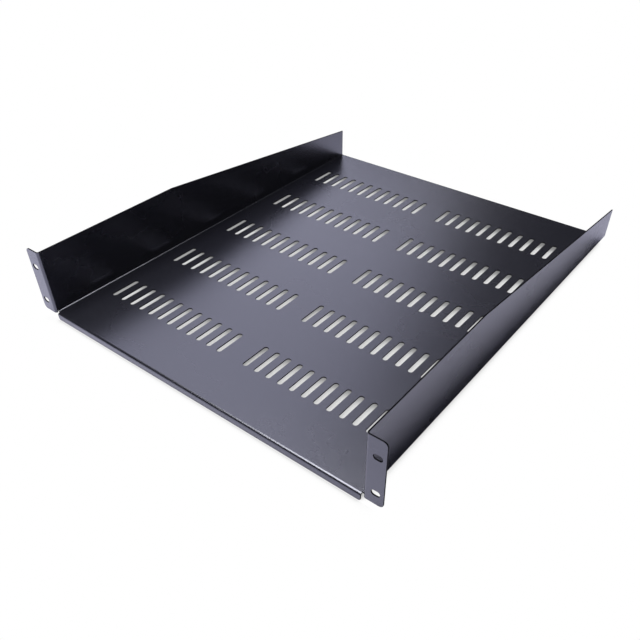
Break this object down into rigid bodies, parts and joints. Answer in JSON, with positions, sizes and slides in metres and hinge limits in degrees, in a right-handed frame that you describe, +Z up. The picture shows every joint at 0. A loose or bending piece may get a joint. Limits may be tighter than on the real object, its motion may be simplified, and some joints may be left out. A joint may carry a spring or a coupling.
{
  "type": "cantilever rack shelf",
  "caption": "Shallow steel tray that hangs from the front rails of an equipment rack: slotted deck, tapering side flanges, front lip and slotted ears, folded from a single sheet.",
  "frame": {"origin": "middle of the rack hole pattern, on the back faces of the ears, which meet the rack's front rails", "axes": "+X to the right seen from the front, +Y to the rear of the shelf, +Z up, away from the deck"},
  "size_m": [0.4826, 0.5588, 0.0882],
  "materials": {
    "powder_coat": "satin black powder coat with a fine orange-peel texture"
  },
  "bodies": {
    "root": {"shelf_tray": "powder_coat"}
  },
  "joints": []
}
